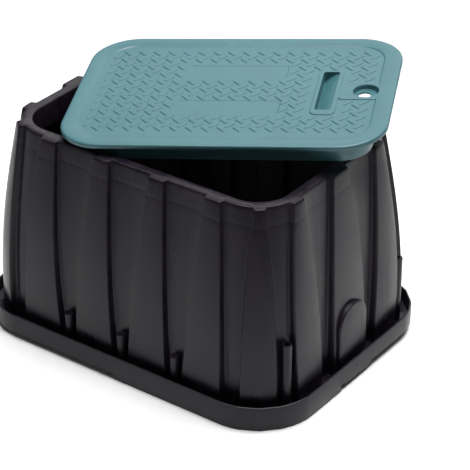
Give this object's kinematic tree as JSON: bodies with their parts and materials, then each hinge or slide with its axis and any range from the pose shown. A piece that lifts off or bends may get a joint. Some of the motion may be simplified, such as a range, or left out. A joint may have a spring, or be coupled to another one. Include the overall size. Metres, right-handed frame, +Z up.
{
  "type": "irrigation valve box",
  "caption": "Rectangular in-ground valve box with bulging corrugated walls, a lipped base and an open rim, its tread lid lying askew on top.",
  "frame": {"origin": "middle of the whole object's footprint, box and overhanging lid together, at ground level under the outer lip", "axes": "+X along the box's length, +Y across it towards the side the lid overhangs, +Z up"},
  "size_m": [0.528, 0.4601, 0.3627],
  "materials": {
    "black_moulding": "satin injection-moulded black polyethylene",
    "teal_moulding": "satin injection-moulded dull teal polyethylene"
  },
  "bodies": {
    "box": {"box_body": "black_moulding", "end_knockout_right": "black_moulding", "end_knockout_left": "black_moulding"},
    "lid": {"lid": "teal_moulding"}
  },
  "joints": [
    {"name": "lid_lift", "type": "slide", "parent": "box", "child": "lid", "axis": [0, 0, 1], "range_m": [0, 0.25]}
  ]
}
